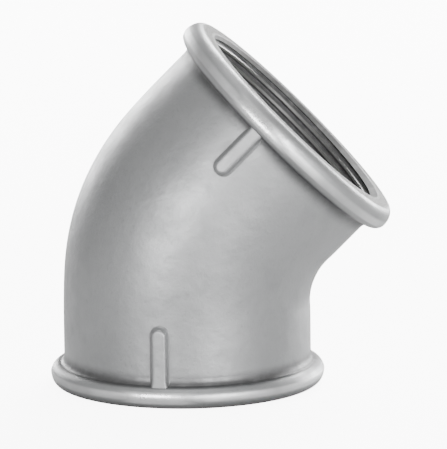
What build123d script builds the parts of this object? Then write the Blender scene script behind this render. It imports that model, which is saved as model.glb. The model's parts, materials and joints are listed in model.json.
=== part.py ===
from build123d import *
from math import cos, radians, sin, sqrt, tan
import os

# Beaded 45 degree elbow, cast in one piece, with a pipe thread cut in each mouth.
# The frame's origin is the centre of the lower mouth, on its face. +Z runs up the lower
# socket, and the upper mouth leans over towards +X, so the bend lies in the XZ plane.
# The casting is divided where its features meet: every pair of neighbours shares a face.

# Overall sizes, in millimetres and degrees
turn = 45.0  # angle between the two mouths' axes
centre_to_end = 62.0  # from the crossing of the two axes to either face
throat_radius = 39.0  # arc of the inner side of the bend
heel_radius = 90.0  # arc of the outer side of the bend
bend_fullness = 0.6  # how far the flanks swell at the middle of the bend

# Pipe thread, the same in both mouths
pipe_diameter = 88.9  # outside diameter of the pipe that screws in
thread_pitch = 25.4 / 8  # eight turns to the inch
thread_crest = 0.8  # flat left at the top of each turn
thread_root = 0.3  # flat at the bottom of each groove
thread_half_angle = 30.0  # slope of each flank from square to the axis
thread_length = 24.5
thread_runout = 3.0  # plain land behind the last turn
mouth_clearance = 1.1  # how much wider than the pipe each countersunk mouth is

# Metal thicknesses
root_backing = 1.5  # thread ring left outside the thread's roots
socket_wall = 2.7  # casting outside the thread ring
bend_wall = 4.1  # casting round the bend

# Reinforcing bead round each mouth
bead_height = {"lower": 5.3, "upper": 6.0}  # how far each bead stands out from its socket
bead_lead = {"lower": 4.8, "upper": 6.0}  # from each face to its bead's crest
bead_back = 3.9  # from the crest to the back of the bead
bead_front_drop = 4.0  # how far the rounded front falls from the crest to the face
cove_rise = 1.7  # height of the concave stretch between the bead's back and the socket
cove_reach = {"lower": 3.0, "upper": 4.0}  # length of that stretch along the socket
cove_step = 0.15  # thickness where a cove stops short of the socket's skin

# Wrench ribs behind each bead
rib_reach = 31.5  # from each face to the rib's rounded end
rib_width = 6.0
rib_height = 3.2  # above the socket's skin
rib_edge = 1.8  # rounding of the rib's long top edges
rib_angle = {"lower": 12.5, "upper": 15.0}  # from square to the bend's plane, towards the heel

# Sizes that follow from the ones above
thread_depth = (thread_pitch - thread_crest - thread_root) / (2 * tan(radians(thread_half_angle)))
root_radius = pipe_diameter / 2
crest_radius = root_radius - thread_depth
mouth_radius = (pipe_diameter + mouth_clearance) / 2
ring_radius = root_radius + root_backing
socket_radius = ring_radius + socket_wall
passage_radius = socket_radius - bend_wall
half_turn_slope = tan(radians(turn / 2))
socket_length = centre_to_end - (socket_radius + throat_radius) * half_turn_slope
heel_start = centre_to_end + (socket_radius - heel_radius) * half_turn_slope
bend_sections = 12  # spans between the sections that the bend is lofted through

# Planes of the two faces, each with its normal running into the fitting
outlet = Vector(sin(radians(turn)), 0, cos(radians(turn)))
crossing = Vector(0, 0, centre_to_end)
mouths = {
    "lower": Plane.XY,
    "upper": Plane(
        crossing + outlet * centre_to_end,
        x_dir=(cos(radians(turn)), 0, -sin(radians(turn))),
        z_dir=-outlet,
    ),
}


def axial_plane(mouth):
    """Plane through a mouth's axis: local X is the radius and local Y runs into the fitting."""
    return Plane(mouth.origin, x_dir=mouth.x_dir, z_dir=-mouth.y_dir)


def heel_distance(angle):
    """From the throat arc's centre to the heel, square across the bend at this angle."""
    angle = radians(min(angle, turn - angle))
    straight = (2 * socket_radius + throat_radius) / cos(angle)
    if straight * sin(angle) <= heel_start - socket_length:
        return straight
    across = 2 * socket_radius + throat_radius - heel_radius
    below = socket_length - heel_start
    along = -across * cos(angle) + below * sin(angle)
    return -along + sqrt(along**2 - across**2 - below**2 + heel_radius**2)


def bend_section(angle, inset):
    """Plane and half sizes of the bend's section, inset from its skin."""
    reach = heel_distance(angle)
    middle = (reach + throat_radius) / 2
    toward_throat = Vector(cos(radians(angle)), 0, -sin(radians(angle)))
    pivot = Vector(socket_radius + throat_radius, 0, socket_length)
    plane = Plane(
        pivot - toward_throat * middle,
        x_dir=toward_throat,
        z_dir=(sin(radians(angle)), 0, cos(radians(angle))),
    )
    half_depth = (reach - throat_radius) / 2
    half_width = socket_radius + bend_fullness * sin(radians(180 * angle / turn)) ** 2
    return plane, half_depth - inset, half_width - inset


def bend_shape(inset):
    """Solid of the bend from one socket to the other, inset from its skin."""
    with BuildPart() as shape:
        for step in range(bend_sections + 1):
            plane, half_depth, half_width = bend_section(turn * step / bend_sections, inset)
            with BuildSketch(plane):
                Ellipse(half_depth, half_width)
        loft()
    return shape.part


def ring_space(mouth):
    """Solid cylinder that a mouth's thread ring fills."""
    with BuildPart() as space:
        with BuildSketch(mouth):
            Circle(ring_radius)
        extrude(amount=thread_length)
    return space.part


def make_bend():
    """Curved middle of the casting, hollow all the way through."""
    with BuildPart() as bend:
        add(bend_skin)
        add(bend_shape(bend_wall), mode=Mode.SUBTRACT)
        for mouth in mouths.values():
            add(ring_space(mouth), mode=Mode.SUBTRACT)
    return bend.part


def make_socket(mouth):
    """Straight casting wall between a mouth's face and the bend."""
    with BuildPart() as socket:
        with BuildSketch(mouth):
            Circle(socket_radius)
            Circle(passage_radius, mode=Mode.SUBTRACT)
        extrude(amount=socket_length)
        add(ring_space(mouth), mode=Mode.SUBTRACT)
    return socket.part


def make_thread(mouth):
    """Ring with a helical pipe thread cut through it and a countersunk mouth."""
    with BuildPart() as thread:
        with BuildSketch(mouth):
            Circle(ring_radius)
            Circle(crest_radius, mode=Mode.SUBTRACT)
        extrude(amount=thread_length)
        with BuildSketch(axial_plane(mouth)):
            with BuildLine():
                Polyline(
                    (crest_radius, 0),
                    (mouth_radius, 0),
                    (crest_radius, mouth_radius - crest_radius),
                    close=True,
                )
            make_face()
        revolve(axis=Axis(mouth.origin, mouth.z_dir), mode=Mode.SUBTRACT)
        add(thread_groove(mouth), mode=Mode.SUBTRACT)
    return thread.part


def thread_groove(mouth):
    """Helical ridge that the thread ring loses, from just outside its face to the run-out."""
    start = mouth.offset(-thread_pitch / 2)
    slope = tan(radians(thread_half_angle))
    half_gap = (thread_pitch - thread_crest) / 2
    clear = thread_crest / 2
    with BuildPart() as groove:
        with BuildLine():
            path = Helix(
                pitch=thread_pitch,
                height=thread_length - thread_runout + thread_pitch / 2,
                radius=crest_radius,
                center=start.origin,
                direction=start.z_dir,
            )
        with BuildSketch(Plane(path @ 0, x_dir=(path @ 0) - start.origin, z_dir=path % 0)):
            with BuildLine():
                Polyline(
                    (-clear, -half_gap - clear * slope),
                    (thread_depth, -thread_root / 2),
                    (thread_depth, thread_root / 2),
                    (-clear, half_gap + clear * slope),
                    close=True,
                )
            make_face()
        sweep(path=path, is_frenet=True)
    return groove.part


def make_bead(mouth, height, lead, cove):
    """Rounded ring round a mouth, with a cove down to the socket behind it."""
    foot = lead + bead_back + cove
    front_radius = socket_radius + height - bead_front_drop
    cove_radius = socket_radius + cove_rise
    back_drop = height - cove_rise
    cove_drop = cove_rise - cove_step
    with BuildPart() as bead:
        with BuildSketch(axial_plane(mouth)):
            with BuildLine():
                Line((socket_radius, 0), (front_radius, 0))
                EllipticalCenterArc((front_radius, lead), bead_front_drop, lead, 270, arc_size=90)
                EllipticalCenterArc((cove_radius, lead), back_drop, bead_back, 0, arc_size=90)
                EllipticalCenterArc((cove_radius, foot), cove_drop, cove, 180, arc_size=90)
                Polyline((cove_radius - cove_drop, foot), (socket_radius, foot), (socket_radius, 0))
            make_face()
        revolve(axis=Axis(mouth.origin, mouth.z_dir))
    return bead.part


def make_rib(mouth, side, angle, lead, bead):
    """Short rib lying along the socket, from the bead's back to a rounded end."""
    outward = side * cos(radians(angle)) - mouth.x_dir * sin(radians(angle))
    round_centre = rib_reach - rib_width / 2
    with BuildPart() as rib:
        with BuildSketch(Plane(mouth.origin, x_dir=mouth.z_dir, z_dir=outward)):
            with Locations(((lead + round_centre) / 2, 0)):
                Rectangle(round_centre - lead, rib_width)
            with Locations((round_centre, 0)):
                Circle(rib_width / 2)
        extrude(amount=socket_radius + rib_height)
        top = rib.faces().sort_by(Axis(mouth.origin, outward))[-1]
        start = top.edges().sort_by(Axis(mouth.origin, mouth.z_dir))[0]
        fillet(top.edges() - ShapeList([start]), rib_edge)
        with BuildSketch(mouth):
            Circle(socket_radius)
        extrude(amount=socket_length, mode=Mode.SUBTRACT)
        add(bend_skin, mode=Mode.SUBTRACT)
        add(bead, mode=Mode.SUBTRACT)
    return rib.part


def save(piece, name):
    """Label a finished piece and write it under its own name."""
    piece.label = name
    export_step(piece, f"parts/{name}.step")


os.makedirs("parts", exist_ok=True)
bend_skin = bend_shape(0)
save(make_bend(), "elbow_bend")
sides = {"front": Vector(0, -1, 0), "back": Vector(0, 1, 0)}
for end, mouth in mouths.items():
    save(make_socket(mouth), f"{end}_socket")
    save(make_thread(mouth), f"{end}_thread")
    bead = make_bead(mouth, bead_height[end], bead_lead[end], cove_reach[end])
    save(bead, f"{end}_bead")
    for side, direction in sides.items():
        rib = make_rib(mouth, direction, rib_angle[end], bead_lead[end], bead)
        save(rib, f"{end}_rib_{side}")
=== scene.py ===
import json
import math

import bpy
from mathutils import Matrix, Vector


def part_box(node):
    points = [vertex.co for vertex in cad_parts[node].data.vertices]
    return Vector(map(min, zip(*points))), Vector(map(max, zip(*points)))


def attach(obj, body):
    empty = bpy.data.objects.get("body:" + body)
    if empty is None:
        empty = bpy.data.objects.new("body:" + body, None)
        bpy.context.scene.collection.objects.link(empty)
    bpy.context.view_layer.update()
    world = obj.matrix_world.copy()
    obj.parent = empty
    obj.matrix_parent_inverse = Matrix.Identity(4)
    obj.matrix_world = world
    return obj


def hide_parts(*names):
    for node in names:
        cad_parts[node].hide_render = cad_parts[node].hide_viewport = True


bl_info = {
    "name": "Flue Elbow",
    "version": (1, 0, 0),
    "blender": (4, 5, 0),
    "location": "View3D > Sidebar > Flue Elbow",
    "description": "Beaded 45 degree cast elbow with a pipe thread in each mouth",
    "category": "Object",
}

from bpy.props import FloatProperty, FloatVectorProperty, PointerProperty
from mathutils import Matrix, Quaternion, Vector

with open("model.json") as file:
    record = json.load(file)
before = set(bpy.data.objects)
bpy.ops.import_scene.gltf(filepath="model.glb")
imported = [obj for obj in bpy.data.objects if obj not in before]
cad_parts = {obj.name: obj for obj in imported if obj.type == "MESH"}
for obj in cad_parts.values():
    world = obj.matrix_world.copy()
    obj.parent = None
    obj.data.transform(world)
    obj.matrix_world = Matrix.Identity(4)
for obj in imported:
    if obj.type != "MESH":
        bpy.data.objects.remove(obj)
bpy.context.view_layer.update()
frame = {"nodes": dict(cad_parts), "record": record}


# ---------------------------------------------------------------------------
# What the frame says
# ---------------------------------------------------------------------------


def half_width(node):
    """Half of a CAD node's extent square to the bend's plane, which is a round piece's radius."""
    low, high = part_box(node)
    return (high.y - low.y) / 2


def mouth_face(name):
    """Centre and outward direction of a mouth's face, as the record states them."""
    for mount in frame["record"]["mounts"]:
        if mount["name"] == name:
            return Vector(mount["pos_m"]), Vector(mount["axis"]).normalized()
    raise RuntimeError(f"the record has no mount named {name}")


FACES = {"lower": mouth_face("lower_face"), "upper": mouth_face("upper_face")}
TURN = math.acos(FACES["upper"][1].z)

# How finely the pieces are divided
ROUND_STEPS = 240  # points round every turned ring and hoop
BEND_SPANS = 60  # stretches along the bend
FRONT_STEPS = 14  # stretches round a bead's front
BACK_STEPS = 10  # stretches round a bead's back, and round the hollow behind it
FLANK_CUTS = 11  # points put along each of a rib's flanks
RIB_END_STEPS = 8  # stretches round each corner of a rib's outer end
RIB_ROUNDING = 2  # times that a rib is subdivided

# Distances in metres that count as none, and angles in degrees up to which a piece shades smooth
SAME_PLACE = 1e-6
SAME_CORNER = 1e-5
ON_RADIUS = 1e-4
SMOOTH_ANGLE = 35
RIB_SMOOTH_ANGLE = 60

# Where a rib widens into its bead: a distance from the face, and the growth on the near side of it
RIB_SPREADS = ((0.0105, 1.10), (0.0085, 1.18), (0.0065, 1.25))
# Rings that a rib rises in: shares of its flare and half width inwards, and of its height upwards
RIB_SINK = 0.1
RIB_RINGS = (
    (0.35, 0, 0.12),
    (0.35, 0, 0.12),
    (0.25, 0, 0.18),
    (0.05, 0, 0.26),
    (0, 0.06, 0.20),
    (0, 0.17, 0.14),
    (0, 0.22, 0.06),
)

# Cast skin: sizes and depths in metres, and shares from 0 to 1
CLOUD_SIZE = 0.045
STAIN_SIZE = 0.011
GRAIN_SIZE = 0.0011
RIPPLE_SIZE = 0.006
RIPPLE_DEPTH = 0.00035
GRAIN_DEPTH = 0.0001
CLOUD_DULLING = 0.32
STAIN_DULLING = 0.28
PIT_DULLING = 0.45
# Painted shade: corners darkened from ambient occlusion within this reach, and how dark the casting
# and the ribs go there
CORNER_REACH = 0.004
CORNER_OPEN = 0.93
CORNER_TIGHT = 0.58
CORNER_SHADE = 0.35
RIB_CORNER_SHADE = 0.15
CAST_METALLIC = 0.78
FACED_METALLIC = 0.9
FACED_DEPTH = 0.00006
# Painted highlight along each bead's crest, standing also for rubbed wear
WEAR_HIGHLIGHT_SHARE = 0.9
GRIP_POLISH = 0.16
# Painted shade in the hollow behind each bead
HOLLOW_SHADE = 0.8

# Cut thread: sizes and depths in metres
GROOVE_START = 0.00003
GROOVE_END = 0.0005
# The countersink is darkened as painted shade, fading out over this depth
COUNTERSINK_FADE = 0.0004
FACE_FADE = 0.0002
OIL_SIZE = 0.004
MARK_DEPTH = 0.00002
GROOVE_ROUGHNESS = 0.35

# Stage
SOFTBOX_DISTANCE = 1.7  # metres from the point that the camera looks at
FLOOR_RADIUS = 3.0
FLOOR_SPREAD = 3.0  # how many times wider the floor's outer ring is
FLOOR_DROP = 0.0002  # how far the floor lies under the fitting, in metres
FLOOR_GLOW = 8.0
WORLD_LIGHT = 0.42
WORLD_SEEN = 9.0
# Each softbox's name, setting, degrees round from the front, degrees up, and side in metres
SOFTBOXES = (
    ("Key", "key", 26, 2, 0.8),
    ("Fill", "fill", -27, 3, 0.8),
    ("Top", "top", 0, 80, 0.8),
    ("High rim", "high_rim", 155, 40, 0.8),
    ("Right rim", "right_rim", 134, 8, 0.7),
    ("Left rim", "left_rim", -154, 12, 0.7),
)


# ---------------------------------------------------------------------------
# Settings
# ---------------------------------------------------------------------------


def length(name, default, description):
    """A length setting in metres."""
    return FloatProperty(
        name=name,
        description=description,
        default=default,
        min=0.0,
        subtype="DISTANCE",
        unit="LENGTH",
    )


def colour(name, default, description):
    """A colour setting."""
    return FloatVectorProperty(
        name=name,
        description=description,
        default=default,
        size=3,
        min=0.0,
        max=1.0,
        subtype="COLOR",
    )


def power(name, default, description):
    """A light's power setting in watts."""
    return FloatProperty(name=name, description=description, default=default, min=0.0, unit="POWER")


class ElbowSizes(bpy.types.PropertyGroup):
    """Sizes of the casting."""

    skin_radius: length(
        "Skin radius", half_width("lower_socket"), "Outside of the straight sockets"
    )
    ring_radius: length("Ring radius", half_width("lower_thread"), "Outside of the threaded rings")
    ring_depth: length(
        "Ring depth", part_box("lower_thread")[1].z, "From each face to the end of its threaded ring"
    )
    socket_depth: length(
        "Socket depth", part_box("lower_socket")[1].z, "From each face to the start of the bend"
    )
    centre_to_end: length(
        "Centre to end", 0.062, "From the crossing of the two axes to either face"
    )
    throat_radius: length("Throat radius", 0.039, "Arc of the bend's inner side")
    heel_radius: length("Heel radius", 0.090, "Arc of the bend's outer side")
    fullness: length("Fullness", 0.0006, "How far the flanks swell at the middle of the bend")
    bend_wall: length("Bend wall", 0.0041, "Metal round the bend")
    countersink: length("Countersink", 0.00235, "Depth of the cone that leads into each thread")
    lower_crest: length("Lower bead radius", half_width("lower_bead"), "Crest of the lower bead")
    upper_crest: length("Upper bead radius", half_width("upper_bead"), "Crest of the upper bead")
    lower_lead: length("Lower bead lead", 0.0048, "From the lower face to its bead's crest")
    upper_lead: length("Upper bead lead", 0.0060, "From the upper face to its bead's crest")
    front_drop: length("Front drop", 0.0040, "How far a bead's rounded front falls from its crest")
    bead_back: length("Bead back", 0.0039, "From a bead's crest to its back")
    cove_rise: length(
        "Cove rise", 0.0017, "Height of the hollow between a bead's back and the neck"
    )
    lower_cove: length("Lower cove", 0.0030, "Length of the hollow behind the lower bead")
    upper_cove: length("Upper cove", 0.0040, "Length of the hollow behind the upper bead")
    parting_ridge: length(
        "Parting ridge", 0.00013, "Height of the mould's joint line along heel and throat"
    )
    rib_start: length("Rib start", 0.0045, "From a face to the buried end of its ribs")
    rib_reach: length("Rib reach", 0.0315, "From a face to the rounded end of its ribs")
    rib_width: length("Rib width", 0.0060, "Across a rib's flanks")
    rib_height: length("Rib height", 0.0032, "From the skin to a rib's top")
    rib_flare: length(
        "Rib flare", 0.0013, "How far a rib's filleted foot spreads beyond each flank"
    )
    lower_rib_angle: FloatProperty(
        name="Lower rib angle",
        description="From square to the bend's plane, towards the heel",
        default=math.radians(12.5),
        subtype="ANGLE",
        unit="ROTATION",
    )
    upper_rib_angle: FloatProperty(
        name="Upper rib angle",
        description="From square to the bend's plane, towards the heel",
        default=math.radians(15.0),
        subtype="ANGLE",
        unit="ROTATION",
    )


class ElbowFinish(bpy.types.PropertyGroup):
    """Colours of the metal, with a painted shade and a painted highlight among them."""

    skin: colour("Skin", (0.40, 0.405, 0.41), "Cast skin in the open")
    skin_dull: colour(
        "Dull skin", (0.30, 0.305, 0.31), "Cast skin where it is stained and in its pits"
    )
    # Near-white painted highlight on the bead crests and beside the ribs, standing also for rubbed
    # wear
    skin_wear_and_highlight: colour(
        "Wear and painted highlight", (0.88, 0.885, 0.89), "Cast skin rubbed bright by handling, with a painted highlight on the bead crests and beside the ribs"
    )
    # Near-black painted shade for corners and for the hollow behind each bead
    painted_shade: colour("Painted shade", (0.07, 0.07, 0.07), "Painted shade in corners and in the hollow behind each bead")
    cut: colour("Cut metal", (0.45, 0.45, 0.445), "Thread crests and faced rings")
    # Dark oil in the thread roots, and painted shade on the countersink
    cut_oil_and_shade: colour(
        "Cut metal in the grooves", (0.13, 0.13, 0.13), "Roots of the thread, dark with oil, and the countersink in painted shade"
    )


class StageSettings(bpy.types.PropertyGroup):
    """Floor, lights and camera."""

    floor_colour: colour("Floor", (0.90, 0.90, 0.90), "Plain pale floor")
    floor_bounce: colour(
        "Floor bounce", (0.42, 0.42, 0.42), "How much light the floor sends back up"
    )
    aim: FloatVectorProperty(
        name="Aim",
        description="Point that the camera looks at",
        default=(0.0148, 0.0012, 0.0626),
        size=3,
        subtype="TRANSLATION",
        unit="LENGTH",
    )
    distance: length("Distance", 2.254, "From the camera to the point that it looks at")
    azimuth: FloatProperty(
        name="Azimuth",
        description="Round the object from the front",
        default=math.radians(-0.21),
        subtype="ANGLE",
    )
    elevation: FloatProperty(
        name="Elevation",
        description="Above the horizon",
        default=math.radians(10.95),
        subtype="ANGLE",
    )
    roll: FloatProperty(
        name="Roll",
        description="Turn about the line of sight",
        default=math.radians(-0.67),
        subtype="ANGLE",
    )
    lens: FloatProperty(name="Lens", description="Focal length", default=458.7, unit="CAMERA")
    key: power("Key", 39.0, "Softbox in front, to the right")
    fill: power("Fill", 25.0, "Softbox in front, to the left")
    top: power("Top", 5.5, "Softbox overhead")
    high_rim: power("High rim", 50.0, "Softbox high behind, to the right")
    right_rim: power("Right rim", 34.0, "Low softbox behind, to the right")
    left_rim: power("Left rim", 20.0, "Low softbox behind, to the left")


# ---------------------------------------------------------------------------
# Modelling
# ---------------------------------------------------------------------------


def start_piece():
    """Deselect everything before a new primitive is added."""
    bpy.ops.object.select_all(action="DESELECT")


def edit(piece, mode="VERT"):
    """Open a piece in edit mode with nothing selected."""
    bpy.context.view_layer.objects.active = piece
    piece.select_set(True)
    bpy.ops.object.mode_set(mode="EDIT")
    bpy.ops.mesh.select_mode(type=mode)
    bpy.ops.mesh.select_all(action="DESELECT")


def select_points(piece, test):
    """In edit mode, select just the vertices whose place passes the test."""
    bpy.ops.mesh.select_mode(type="VERT")
    bpy.ops.mesh.select_all(action="DESELECT")
    bpy.ops.object.mode_set(mode="OBJECT")
    for point in piece.data.vertices:
        point.select = test(piece.matrix_world @ point.co)
    bpy.ops.object.mode_set(mode="EDIT")


def close_skin():
    """Merge what coincides in the open mesh and turn its faces outwards."""
    bpy.ops.mesh.select_all(action="SELECT")
    bpy.ops.mesh.remove_doubles(threshold=SAME_PLACE)
    bpy.ops.mesh.normals_make_consistent(inside=False)


def put(piece, place):
    """Set a piece down at its place, with the place written into its mesh."""
    piece.matrix_world = place @ piece.matrix_world
    bpy.ops.object.select_all(action="DESELECT")
    piece.select_set(True)
    bpy.context.view_layer.objects.active = piece
    bpy.ops.object.transform_apply(location=True, rotation=True, scale=True)


def smooth(piece, angle=SMOOTH_ANGLE):
    """Shade a piece smooth, apart from its real edges."""
    bpy.ops.object.select_all(action="DESELECT")
    piece.select_set(True)
    bpy.context.view_layer.objects.active = piece
    bpy.ops.object.shade_smooth_by_angle(angle=math.radians(angle))


def hand_over(piece, node, material):
    """Give a finished piece its material and its place in the frame."""
    piece.data.materials.clear()
    piece.data.materials.append(material)
    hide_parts(node)
    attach(piece, "root")


def mouth_place(end):
    """Matrix from a mouth's own axes, with +Z into the fitting and +X towards the throat."""
    centre, outward = FACES[end]
    across = Vector((math.cos(TURN), 0, -math.sin(TURN))) if end == "upper" else Vector((1, 0, 0))
    inward = -outward
    square = inward.cross(across)
    return Matrix.Translation(centre) @ Matrix((across, square, inward)).transposed().to_4x4()


def arc(centre, reach, start, sweep, steps):
    """(radius, depth) points along a stretch of an ellipse, in a section through a mouth's axis."""
    angles = [math.radians(start + sweep * step / steps) for step in range(steps + 1)]
    return [
        (centre[0] + reach[0] * math.cos(a), centre[1] + reach[1] * math.sin(a)) for a in angles
    ]


def turned_ring(name, profile):
    """Closed ring turned about +Z: a circle drawn out from point to point of its profile."""
    start_piece()
    radius, depth = profile[0]
    bpy.ops.mesh.primitive_circle_add(
        vertices=ROUND_STEPS, radius=radius, location=(0, 0, depth), fill_type="NOTHING"
    )
    ring = bpy.context.object
    ring.name = name
    edit(ring, "EDGE")
    bpy.ops.mesh.select_all(action="SELECT")
    for next_radius, next_depth in profile[1:] + profile[:1]:
        bpy.ops.mesh.extrude_edges_move(
            TRANSFORM_OT_translate={"value": (0, 0, next_depth - depth)}
        )
        growth = next_radius / radius
        bpy.ops.transform.resize(value=(growth, growth, 1), center_override=(0, 0, next_depth))
        radius, depth = next_radius, next_depth
    close_skin()
    return ring


def raise_parting(ring, height, test):
    """Push out the ring's vertices in the bend's plane, where the two halves of the mould met."""
    for way in (1, -1):
        select_points(ring, lambda p: abs(p.y) < SAME_PLACE and p.x * way > 0 and test(p))
        bpy.ops.transform.translate(value=(way * height, 0, 0))


def heel_distance(sizes, angle):
    """From the throat arc's centre to the heel, square across the bend at this angle."""
    angle = min(angle, TURN - angle)
    slope = math.tan(TURN / 2)
    heel_start = sizes.centre_to_end + (sizes.skin_radius - sizes.heel_radius) * slope
    straight = (2 * sizes.skin_radius + sizes.throat_radius) / math.cos(angle)
    if straight * math.sin(angle) <= heel_start - sizes.socket_depth:
        return straight
    across = 2 * sizes.skin_radius + sizes.throat_radius - sizes.heel_radius
    below = sizes.socket_depth - heel_start
    along = -across * math.cos(angle) + below * math.sin(angle)
    return -along + math.sqrt(along**2 - across**2 - below**2 + sizes.heel_radius**2)


class MESH_OT_elbow_bead(bpy.types.Operator):
    """Rounded bead round each mouth, with its faced front and the hollow behind it"""

    bl_idname = "mesh.elbow_bead"
    bl_label = "Beads"

    def execute(self, context):
        sizes = context.scene.elbow_sizes
        for end in ("lower", "upper"):
            crest = getattr(sizes, f"{end}_crest")
            lead = getattr(sizes, f"{end}_lead")
            cove = getattr(sizes, f"{end}_cove")
            foot = lead + sizes.bead_back + cove
            front = crest - sizes.front_drop
            neck = sizes.skin_radius + sizes.cove_rise
            profile = [(sizes.ring_radius, 0.0)]
            profile += arc((front, lead), (sizes.front_drop, lead), -90, 90, FRONT_STEPS)
            profile += arc((neck, lead), (crest - neck, sizes.bead_back), 0, 90, BACK_STEPS)[1:]
            profile += arc((neck, foot), (-sizes.cove_rise, -cove), 90, -90, BACK_STEPS)[1:]
            profile += [(sizes.ring_radius, foot)]
            bead = turned_ring(f"{end}_bead_casting", profile)
            raise_parting(
                bead,
                sizes.parting_ridge,
                lambda p: p.z > lead / 2 and p.xy.length > sizes.ring_radius + ON_RADIUS,
            )
            bpy.ops.object.mode_set(mode="OBJECT")
            put(bead, mouth_place(end))
            smooth(bead)
            hand_over(bead, f"{end}_bead", cast_metal(f"{end} mouth, cast", end))
        return {"FINISHED"}


class MESH_OT_elbow_neck(bpy.types.Operator):
    """Straight neck between each bead and the bend, stepped inside behind the thread"""

    bl_idname = "mesh.elbow_neck"
    bl_label = "Necks"

    def execute(self, context):
        sizes = context.scene.elbow_sizes
        passage = sizes.skin_radius - sizes.bend_wall
        end_depth = (sizes.ring_depth + sizes.socket_depth) / 2
        for end in ("lower", "upper"):
            foot = getattr(sizes, f"{end}_lead") + sizes.bead_back + getattr(sizes, f"{end}_cove")
            middle = (foot + end_depth) / 2
            profile = [
                (sizes.skin_radius, foot),
                (sizes.skin_radius, middle),
                (sizes.skin_radius, end_depth),
                (passage, end_depth),
                (passage, sizes.ring_depth),
                (sizes.ring_radius, sizes.ring_depth),
                (sizes.ring_radius, foot),
            ]
            neck = turned_ring(f"{end}_neck_casting", profile)
            raise_parting(
                neck, sizes.parting_ridge, lambda p: p.xy.length > sizes.skin_radius - ON_RADIUS
            )
            bpy.ops.object.mode_set(mode="OBJECT")
            put(neck, mouth_place(end))
            smooth(neck)
            hand_over(neck, f"{end}_socket", cast_metal(f"{end} mouth, cast", end))
        return {"FINISHED"}


class MESH_OT_elbow_bend(bpy.types.Operator):
    """Curved middle of the casting: hoops square across the bend, bridged and given their wall"""

    bl_idname = "mesh.elbow_bend"
    bl_label = "Bend"

    def execute(self, context):
        sizes = context.scene.elbow_sizes
        seam = (sizes.ring_depth + sizes.socket_depth) / 2
        radius = sizes.skin_radius
        pivot = Vector((radius + sizes.throat_radius, 0, sizes.socket_depth))
        hoops = [self.hoop(Vector((0, 0, seam)), 0, radius, radius)]
        for span in range(BEND_SPANS + 1):
            angle = TURN * span / BEND_SPANS
            reach = heel_distance(sizes, angle)
            across = Vector((math.cos(angle), 0, -math.sin(angle)))
            swell = sizes.fullness * math.sin(math.pi * angle / TURN) ** 2
            middle = pivot - across * (reach + sizes.throat_radius) / 2
            hoops.append(
                self.hoop(middle, angle, (reach - sizes.throat_radius) / 2, radius + swell)
            )
        centre, outward = FACES["upper"]
        hoops.append(self.hoop(centre - outward * seam, TURN, radius, radius))
        for hoop in hoops:
            hoop.select_set(True)
        bpy.ops.object.join()
        bend = bpy.context.object
        bend.name = "bend_casting"
        edit(bend, "EDGE")
        bpy.ops.mesh.select_all(action="SELECT")
        bpy.ops.mesh.bridge_edge_loops(type="SINGLE")
        close_skin()
        select_points(bend, lambda p: abs(p.y) < SAME_PLACE)
        bpy.ops.transform.shrink_fatten(value=sizes.parting_ridge)
        bpy.ops.object.mode_set(mode="OBJECT")
        put(bend, Matrix())
        wall = bend.modifiers.new("Wall", "SOLIDIFY")
        wall.thickness = sizes.bend_wall
        wall.offset = -1
        wall.use_even_offset = True
        bpy.ops.object.modifier_apply(modifier=wall.name)
        smooth(bend)
        hand_over(bend, "elbow_bend", cast_metal("Casting"))
        return {"FINISHED"}

    def hoop(self, middle, angle, half_depth, half_width):
        """One elliptical edge of the bend's skin, square across it."""
        start_piece()
        bpy.ops.mesh.primitive_circle_add(
            vertices=ROUND_STEPS,
            radius=half_width,
            location=middle,
            rotation=(0, angle, 0),
            scale=(half_depth / half_width, 1, 1),
            fill_type="NOTHING",
        )
        return bpy.context.object


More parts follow.
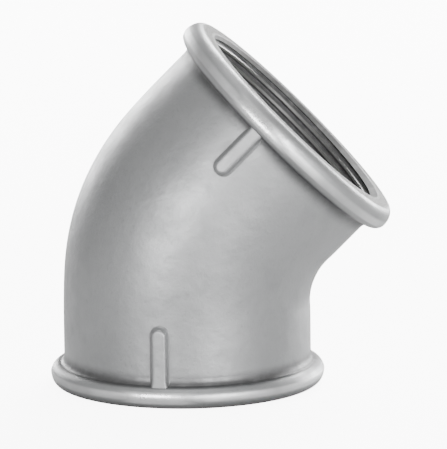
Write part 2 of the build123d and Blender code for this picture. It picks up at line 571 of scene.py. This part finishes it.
class MESH_OT_elbow_ribs(bpy.types.Operator):
    """Four wrench ribs, modelled once: a rounded bar on a filleted foot, buried in its bead"""

    bl_idname = "mesh.elbow_ribs"
    bl_label = "Ribs"

    def execute(self, context):
        sizes = context.scene.elbow_sizes
        rib = self.rib(sizes)
        sides = {"front": -1, "back": 1}
        for end in ("lower", "upper"):
            angle = getattr(sizes, f"{end}_rib_angle")
            for side, way in sides.items():
                copy = rib.copy()
                copy.data = rib.data.copy()
                copy.name = f"{end}_{side}_rib_casting"
                context.collection.objects.link(copy)
                outward = Vector((-math.sin(angle), way * math.cos(angle), 0))
                if end == "upper":
                    outward.y = -outward.y
                along = Vector((0, 0, 1))
                turned = Matrix((along, outward.cross(along), outward)).transposed().to_4x4()
                lift = Matrix.Translation(outward * sizes.skin_radius)
                put(copy, mouth_place(end) @ lift @ turned)
                smooth(copy, RIB_SMOOTH_ANGLE)
                # The ribs take a little painted shade in their corners
                hand_over(copy, f"{end}_rib_{side}", cast_metal("Ribs", shade_share=RIB_CORNER_SHADE))
        bpy.data.objects.remove(rib)
        return {"FINISHED"}

    def rib(self, sizes):
        """Rib lying along +X with its skin line at height 0."""
        start_piece()
        half = sizes.rib_width / 2
        spread = half + sizes.rib_flare
        reach = sizes.rib_reach + sizes.rib_flare
        bpy.ops.mesh.primitive_plane_add(size=1, location=(0, 0, 0))
        rib = bpy.context.object
        edit(rib)
        bpy.ops.mesh.select_all(action="SELECT")
        bpy.ops.transform.resize(value=(reach - sizes.rib_start, 2 * spread, 1))
        middle = (reach + sizes.rib_start) / 2
        bpy.ops.transform.translate(value=(middle, 0, -RIB_SINK * sizes.rib_height))
        select_points(rib, lambda p: p.x > middle)
        bpy.ops.mesh.bevel(
            offset=spread, segments=RIB_END_STEPS, affect="VERTICES", clamp_overlap=False
        )
        bpy.ops.mesh.select_all(action="SELECT")
        bpy.ops.mesh.remove_doubles(threshold=SAME_CORNER)
        self.divide_flanks(rib, spread)
        for distance, growth in RIB_SPREADS:
            select_points(rib, lambda p: p.x < distance)
            bpy.ops.transform.resize(value=(1, growth, 1), center_override=(0, 0, 0))
        bpy.ops.mesh.select_mode(type="FACE")
        bpy.ops.mesh.select_all(action="SELECT")
        for flare_share, half_share, rise_share in RIB_RINGS:
            inward = sizes.rib_flare * flare_share + half * half_share
            bpy.ops.mesh.inset(thickness=inward, depth=sizes.rib_height * rise_share)
        close_skin()
        bpy.ops.object.mode_set(mode="OBJECT")
        soften = rib.modifiers.new("Soften", "SUBSURF")
        soften.levels = RIB_ROUNDING
        soften.render_levels = RIB_ROUNDING
        bpy.ops.object.modifier_apply(modifier=soften.name)
        edit(rib)
        bpy.ops.mesh.select_non_manifold()
        bpy.ops.mesh.edge_face_add()
        bpy.ops.mesh.poke()
        close_skin()
        bpy.ops.object.mode_set(mode="OBJECT")
        return rib

    def divide_flanks(self, rib, spread):
        """Put points along the two straight flanks, so that rounding stays at the ends."""
        bpy.ops.mesh.select_mode(type="EDGE")
        bpy.ops.mesh.select_all(action="DESELECT")
        bpy.ops.object.mode_set(mode="OBJECT")
        for edge in rib.data.edges:
            first, second = (rib.data.vertices[i].co for i in edge.vertices)
            level = abs(first.y - second.y) < SAME_PLACE
            edge.select = level and abs(first.x - second.x) > spread / 2
        bpy.ops.object.mode_set(mode="EDIT")
        bpy.ops.mesh.subdivide(number_cuts=FLANK_CUTS)


class MESH_OT_elbow_threads(bpy.types.Operator):
    """Cut-metal finish on the two threaded rings, which keep their CAD shape"""

    bl_idname = "mesh.elbow_threads"
    bl_label = "Threads"

    def execute(self, context):
        for end in ("lower", "upper"):
            ring = frame["nodes"][f"{end}_thread"]
            ring.data.materials.clear()
            ring.data.materials.append(cut_metal(f"{end} thread, cut", end))
        return {"FINISHED"}


# ---------------------------------------------------------------------------
# Finishes
# ---------------------------------------------------------------------------


class Finish:
    """A material under construction, with one short call for each kind of node."""

    def __init__(self, name):
        self.material = bpy.data.materials.new(name)
        self.material.use_nodes = True
        self.tree = self.material.node_tree
        self.shader = self.tree.nodes["Principled BSDF"]
        self.place = self.node("ShaderNodeTexCoord").outputs["Object"]

    def node(self, kind, inputs=None, **settings):
        """Add a node, set its options, and fill or link its inputs."""
        made = self.tree.nodes.new(kind)
        for option, value in settings.items():
            setattr(made, option, value)
        for socket, value in (inputs or {}).items():
            if isinstance(value, bpy.types.NodeSocket):
                self.tree.links.new(value, made.inputs[socket])
            else:
                made.inputs[socket].default_value = value
        return made

    def maths(self, operation, first, second=0.0):
        """One step of arithmetic."""
        return self.node("ShaderNodeMath", {0: first, 1: second}, operation=operation).outputs[0]

    def noise(self, grain, detail=3.0, roughness=0.5, place=None):
        """Soft noise whose features are about this many metres across."""
        inputs = {
            "Vector": place or self.place,
            "Scale": 1 / grain,
            "Detail": detail,
            "Roughness": roughness,
        }
        return self.node("ShaderNodeTexNoise", inputs).outputs["Fac"]

    def between(self, value, low, high, start=0.0, end=1.0):
        """Fade from start to end as the value goes from low to high."""
        inputs = {"Value": value, "From Min": low, "From Max": high, "To Min": start, "To Max": end}
        fade = self.node("ShaderNodeMapRange", inputs, interpolation_type="SMOOTHSTEP")
        return fade.outputs["Result"]

    def mix(self, share, first, second):
        """Blend two colours."""
        made = self.node("ShaderNodeMix", data_type="RGBA")
        for socket, value in ((0, share), (6, first), (7, second)):
            if isinstance(value, bpy.types.NodeSocket):
                self.tree.links.new(value, made.inputs[socket])
            elif socket == 0:
                made.inputs[0].default_value = value
            else:
                made.inputs[socket].default_value = (*value, 1)
        return made.outputs[2]

    def link(self, value, socket):
        """Feed one of the shader's sockets."""
        self.tree.links.new(value, self.shader.inputs[socket])

    def bump(self, height, distance, strength=1.0, under=None):
        """Relief this many metres deep."""
        inputs = {"Height": height, "Distance": distance, "Strength": strength}
        if under is not None:
            inputs["Normal"] = under
        return self.node("ShaderNodeBump", inputs).outputs["Normal"]

    def shade_in_corners(self, reach, open_share, tight_share):
        """Ambient-occlusion mask for painted shade: 1 in corners and grooves about this many metres
        deep, and 0 in the open.
        """
        node = self.node("ShaderNodeAmbientOcclusion", {"Distance": reach}, samples=8)
        return self.between(node.outputs["AO"], tight_share, open_share, 1.0, 0.0)

    def mouth(self, end):
        """Radius from a mouth's axis, depth behind its face, and the place in its own axes."""
        centre, outward = FACES[end]
        tilt = math.atan2(outward.x, outward.z)
        inputs = {"Vector": self.place, "Location": centre, "Rotation": (0, tilt, 0)}
        local = self.node("ShaderNodeMapping", inputs, vector_type="TEXTURE").outputs["Vector"]
        parts = self.node("ShaderNodeSeparateXYZ", {"Vector": local})
        flat = self.node("ShaderNodeCombineXYZ", {"X": parts.outputs["X"], "Y": parts.outputs["Y"]})
        across = {0: flat.outputs["Vector"]}
        radius = self.node("ShaderNodeVectorMath", across, operation="LENGTH").outputs["Value"]
        return radius, self.maths("MULTIPLY", parts.outputs["Z"], -1.0), local

    def grip_and_highlight(self, local, radius, rib_angle):
        """1 beside each rib, where a wrench rubs the bead and a painted highlight is put, and 0 a
        little way round from it.
        """
        parts = self.node("ShaderNodeSeparateXYZ", {"Vector": local})
        square = self.maths(
            "MULTIPLY", self.maths("ABSOLUTE", parts.outputs["Y"]), math.cos(rib_angle)
        )
        heelward = self.maths("MULTIPLY", parts.outputs["X"], -math.sin(rib_angle))
        return self.between(
            self.maths("DIVIDE", self.maths("ADD", square, heelward), radius), 0.95, 0.995
        )


def cast_metal(name, end=None, shade_share=CORNER_SHADE):
    """Sand-cast skin, with painted shade in its corners. At a mouth it is faced bright, rubbed
    bright at the crest with a painted highlight along it and beside the ribs, and darkened with
    painted shade in the hollow behind the bead.
    """
    if name in bpy.data.materials:
        return bpy.data.materials[name]
    colours = bpy.context.scene.elbow_finish
    finish = Finish(name)
    clouds = finish.noise(CLOUD_SIZE, 4.0, 0.55)
    stain = finish.noise(STAIN_SIZE, 5.0, 0.6)
    grain = finish.noise(GRAIN_SIZE, 3.0, 0.6)
    ripple = finish.noise(RIPPLE_SIZE, 2.0, 0.5)
    cloudy = finish.between(clouds, 0.35, 0.7, 0.0, CLOUD_DULLING)
    stained = finish.between(stain, 0.4, 0.75, 0.0, STAIN_DULLING)
    patch = finish.maths("ADD", cloudy, stained)
    skin = finish.mix(patch, tuple(colours.skin), tuple(colours.skin_dull))
    pits = finish.between(grain, 0.30, 0.42, PIT_DULLING, 0.0)
    skin = finish.mix(pits, skin, tuple(colours.skin_dull))
    # Painted shade: corners darkened by ambient occlusion, varied by the stain noise
    corner = finish.shade_in_corners(CORNER_REACH, CORNER_OPEN, CORNER_TIGHT)
    corner = finish.maths("MULTIPLY", corner, finish.between(stain, 0.2, 0.6, 0.7 * shade_share, shade_share))
    if end is not None:
        sizes = bpy.context.scene.elbow_sizes
        radius, depth, local = finish.mouth(end)
        back = getattr(sizes, f"{end}_lead") + sizes.bead_back
        foot = back + getattr(sizes, f"{end}_cove")
        # Painted shade in the hollow behind the bead: a dark line where the bead meets the neck
        entered = finish.between(depth, back - 0.0012, back, 0.0, HOLLOW_SHADE)
        left = finish.between(depth, back + 0.0008, foot + 0.0025, 1.0, 0.0)
        hollow = finish.maths("MULTIPLY", entered, left)
        hollow = finish.maths("MULTIPLY", hollow, finish.between(stain, 0.2, 0.6, 0.7, 1.0))
        corner = finish.maths("MAXIMUM", corner, hollow)
    # Corners and the hollow are painted towards near black as shade
    skin = finish.mix(corner, skin, tuple(colours.painted_shade))
    rough = finish.between(stain, 0.3, 0.7, 0.39, 0.48)
    rough = finish.maths("ADD", rough, finish.between(grain, 0.3, 0.7, 0.0, 0.06))
    relief = finish.bump(ripple, RIPPLE_DEPTH, 0.5)
    relief = finish.bump(grain, GRAIN_DEPTH, 0.5, relief)
    if end is not None:
        crest = getattr(sizes, f"{end}_crest")
        edge = crest - sizes.front_drop
        # Painted highlight: a near-white line along the crest, and a patch beside each rib where a
        # wrench rubs, which is also polished smoother
        wear_and_highlight = finish.between(radius, crest - 0.00035, crest - 0.00004, 0.0, WEAR_HIGHLIGHT_SHARE)
        # The lower mouth's local X points the other way, so its ribs lean the other way
        lean = getattr(sizes, f"{end}_rib_angle") * (1 if end == "upper" else -1)
        grip_wear_and_highlight = finish.grip_and_highlight(local, radius, lean)
        near_crest = finish.between(radius, crest - 0.0009, crest - 0.0002, 0.0, 1.0)
        grip_wear_and_highlight = finish.maths("MULTIPLY", grip_wear_and_highlight, near_crest)
        wear_and_highlight = finish.maths("MULTIPLY", wear_and_highlight, finish.between(clouds, 0.35, 0.6, 0.3, 0.85))
        wear_and_highlight = finish.maths("MAXIMUM", wear_and_highlight, grip_wear_and_highlight)
        skin = finish.mix(wear_and_highlight, skin, tuple(colours.skin_wear_and_highlight))
        rough = finish.maths("SUBTRACT", rough, finish.maths("MULTIPLY", grip_wear_and_highlight, GRIP_POLISH))
        inside = finish.maths("LESS_THAN", radius, edge)
        near = finish.maths("LESS_THAN", depth, FACED_DEPTH)
        faced = finish.maths("MULTIPLY", inside, near)
        skin = finish.mix(faced, skin, tuple(colours.cut))
        marks = finish.node(
            "ShaderNodeTexNoise",
            {"Scale": 9000.0, "Detail": 1.0, "W": radius},
            noise_dimensions="1D",
        ).outputs["Fac"]
        smoothed = finish.between(marks, 0.3, 0.7, 0.26, 0.36)
        swap = finish.node("ShaderNodeMix", {0: faced, 2: rough, 3: smoothed})
        rough = swap.outputs[0]
        metal_share = finish.between(faced, 0.0, 1.0, CAST_METALLIC, FACED_METALLIC)
        finish.link(metal_share, "Metallic")
    else:
        finish.shader.inputs["Metallic"].default_value = CAST_METALLIC
    finish.link(skin, "Base Color")
    finish.link(rough, "Roughness")
    finish.link(relief, "Normal")
    return finish.material


def cut_metal(name, end):
    """Screw-cut metal: bright crests, grooves dark with oil, the countersink darkened as painted
    shade, fine turning marks.
    """
    colours = bpy.context.scene.elbow_finish
    finish = Finish(name)
    radius, depth, local = finish.mouth(end)
    crest = radius_of_crest(end)
    mouth_depth = bpy.context.scene.elbow_sizes.countersink
    groove = finish.between(radius, crest + GROOVE_START, crest + GROOVE_END, 0.0, 1.0)
    # Painted shade: the whole countersink darkened like the roots that are dark with oil
    countersink = finish.between(depth, mouth_depth, mouth_depth + COUNTERSINK_FADE, 1.0, 0.0)
    groove = finish.maths("MAXIMUM", groove, countersink)
    on_face = finish.between(depth, 0.0, FACE_FADE, 0.3, 1.0)
    groove = finish.maths("MULTIPLY", groove, on_face)
    stain = finish.noise(OIL_SIZE, 4.0, 0.6, local)
    oiled_and_shaded = finish.maths("MULTIPLY", groove, finish.between(stain, 0.25, 0.6, 0.75, 1.0))
    colour_now = finish.mix(oiled_and_shaded, tuple(colours.cut), tuple(colours.cut_oil_and_shade))
    along = finish.maths("ADD", radius, depth)
    marks = finish.node(
        "ShaderNodeTexNoise", {"Scale": 6000.0, "Detail": 2.0, "W": along}, noise_dimensions="1D"
    ).outputs["Fac"]
    finish.link(colour_now, "Base Color")
    polish = finish.between(marks, 0.3, 0.7, 0.24, 0.38)
    finish.link(
        finish.maths("ADD", polish, finish.maths("MULTIPLY", groove, GROOVE_ROUGHNESS)), "Roughness"
    )
    finish.link(finish.bump(marks, MARK_DEPTH, 0.5), "Normal")
    finish.link(finish.between(groove, 0.0, 1.0, 0.85, 0.35), "Metallic")
    return finish.material


def radius_of_crest(end):
    """Radius of the thread's crests, from the mount that the pipe screws into."""
    for mount in frame["record"]["mounts"]:
        if mount["name"] == f"{end}_thread_mount":
            return mount["dims"]["r_mm"] / 1000
    raise RuntimeError(f"the record has no thread mount at the {end} mouth")


# ---------------------------------------------------------------------------
# Stage
# ---------------------------------------------------------------------------


class SCENE_OT_elbow_stage(bpy.types.Operator):
    """Pale floor, soft lights, bright surroundings and the camera"""

    bl_idname = "scene.elbow_stage"
    bl_label = "Stage"

    def execute(self, context):
        stage = context.scene.elbow_stage
        self.floor(stage)
        self.surroundings(context.scene)
        aim = Vector(stage.aim)
        for name, setting, azimuth, elevation, size in SOFTBOXES:
            self.softbox(name, aim, azimuth, elevation, size, getattr(stage, setting))
        self.camera(context.scene, stage, aim)
        return {"FINISHED"}

    def floor(self, stage):
        """Wide flat sheet just under the fitting."""
        start_piece()
        bpy.ops.mesh.primitive_circle_add(
            vertices=96, radius=FLOOR_RADIUS, location=(0, 0, -FLOOR_DROP), fill_type="NGON"
        )
        floor = bpy.context.object
        floor.name = "Floor"
        edit(floor, "EDGE")
        bpy.ops.mesh.select_all(action="SELECT")
        bpy.ops.mesh.extrude_edges_move(TRANSFORM_OT_translate={"value": (0, 0, 0)})
        bpy.ops.transform.resize(value=(FLOOR_SPREAD, FLOOR_SPREAD, 1.0))
        bpy.ops.object.mode_set(mode="OBJECT")
        finish = Finish("Floor sheet")
        drift = finish.noise(0.6, 2.0, 0.5)
        seen = finish.node("ShaderNodeLightPath").outputs["Is Camera Ray"]
        pale = finish.mix(
            finish.between(drift, 0.3, 0.7, 0.0, 0.03), tuple(stage.floor_colour), (0.8, 0.8, 0.8)
        )
        finish.link(finish.mix(seen, tuple(stage.floor_bounce), pale), "Base Color")
        finish.shader.inputs["Roughness"].default_value = 0.85
        finish.shader.inputs["Emission Color"].default_value = (1, 1, 1, 1)
        finish.link(finish.maths("MULTIPLY", seen, FLOOR_GLOW), "Emission Strength")
        floor.data.materials.append(finish.material)

    def surroundings(self, scene):
        """Even light from all round, brighter where it is seen directly."""
        world = bpy.data.worlds.new("Surroundings")
        world.use_nodes = True
        scene.world = world
        tree = world.node_tree
        seen = tree.nodes.new("ShaderNodeLightPath")
        level = tree.nodes.new("ShaderNodeMapRange")
        level.inputs["To Min"].default_value = WORLD_LIGHT
        level.inputs["To Max"].default_value = WORLD_SEEN
        tree.links.new(seen.outputs["Is Camera Ray"], level.inputs["Value"])
        tree.links.new(level.outputs["Result"], tree.nodes["Background"].inputs["Strength"])
        tree.nodes["Background"].inputs["Color"].default_value = (1, 1, 1, 1)

    def softbox(self, name, aim, azimuth, elevation, size, strength):
        """Square area light facing the fitting."""
        back = self.direction(math.radians(azimuth), math.radians(elevation))
        light = bpy.data.lights.new(name, "AREA")
        light.size = size
        light.energy = strength
        lamp = bpy.data.objects.new(name, light)
        lamp.location = aim + back * SOFTBOX_DISTANCE
        lamp.visible_camera = False
        lamp.rotation_euler = back.to_track_quat("Z", "Y").to_euler()
        bpy.context.collection.objects.link(lamp)

    def direction(self, azimuth, elevation):
        """From the fitting out to something seen at these angles."""
        level = math.cos(elevation)
        return Vector((math.sin(azimuth) * level, -math.cos(azimuth) * level, math.sin(elevation)))

    def camera(self, scene, stage, aim):
        """Long lens, a little above the fitting."""
        back = self.direction(stage.azimuth, stage.elevation)
        view = bpy.data.cameras.new("Camera")
        view.lens = stage.lens
        view.clip_start = 0.1
        view.clip_end = 60.0
        camera = bpy.data.objects.new("Camera", view)
        camera.location = aim + back * stage.distance
        camera.rotation_mode = "QUATERNION"
        camera.rotation_quaternion = back.to_track_quat("Z", "Y") @ Quaternion(
            (0, 0, 1), stage.roll
        )
        scene.collection.objects.link(camera)
        scene.camera = camera


class VIEW3D_PT_elbow(bpy.types.Panel):
    """Settings and steps of the elbow"""

    bl_label = "Flue Elbow"
    bl_idname = "VIEW3D_PT_elbow"
    bl_space_type = "VIEW_3D"
    bl_region_type = "UI"
    bl_category = "Flue Elbow"

    def draw(self, context):
        scene = context.scene
        for group in (scene.elbow_sizes, scene.elbow_finish, scene.elbow_stage):
            box = self.layout.box()
            for setting in group.__annotations__:
                box.prop(group, setting)
        for step in STEPS:
            self.layout.operator(step.bl_idname)


STEPS = (
    MESH_OT_elbow_bead,
    MESH_OT_elbow_neck,
    MESH_OT_elbow_bend,
    MESH_OT_elbow_ribs,
    MESH_OT_elbow_threads,
    SCENE_OT_elbow_stage,
)
CLASSES = (ElbowSizes, ElbowFinish, StageSettings, *STEPS, VIEW3D_PT_elbow)


def register():
    for made in CLASSES:
        bpy.utils.register_class(made)
    bpy.types.Scene.elbow_sizes = PointerProperty(type=ElbowSizes)
    bpy.types.Scene.elbow_finish = PointerProperty(type=ElbowFinish)
    bpy.types.Scene.elbow_stage = PointerProperty(type=StageSettings)


def unregister():
    del bpy.types.Scene.elbow_stage
    del bpy.types.Scene.elbow_finish
    del bpy.types.Scene.elbow_sizes
    for made in reversed(CLASSES):
        bpy.utils.unregister_class(made)


def main():
    """Run every step in order."""
    register()
    bpy.ops.mesh.elbow_bead()
    bpy.ops.mesh.elbow_neck()
    bpy.ops.mesh.elbow_bend()
    bpy.ops.mesh.elbow_ribs()
    bpy.ops.mesh.elbow_threads()
    bpy.ops.scene.elbow_stage()


if __name__ == "__main__":
    main()
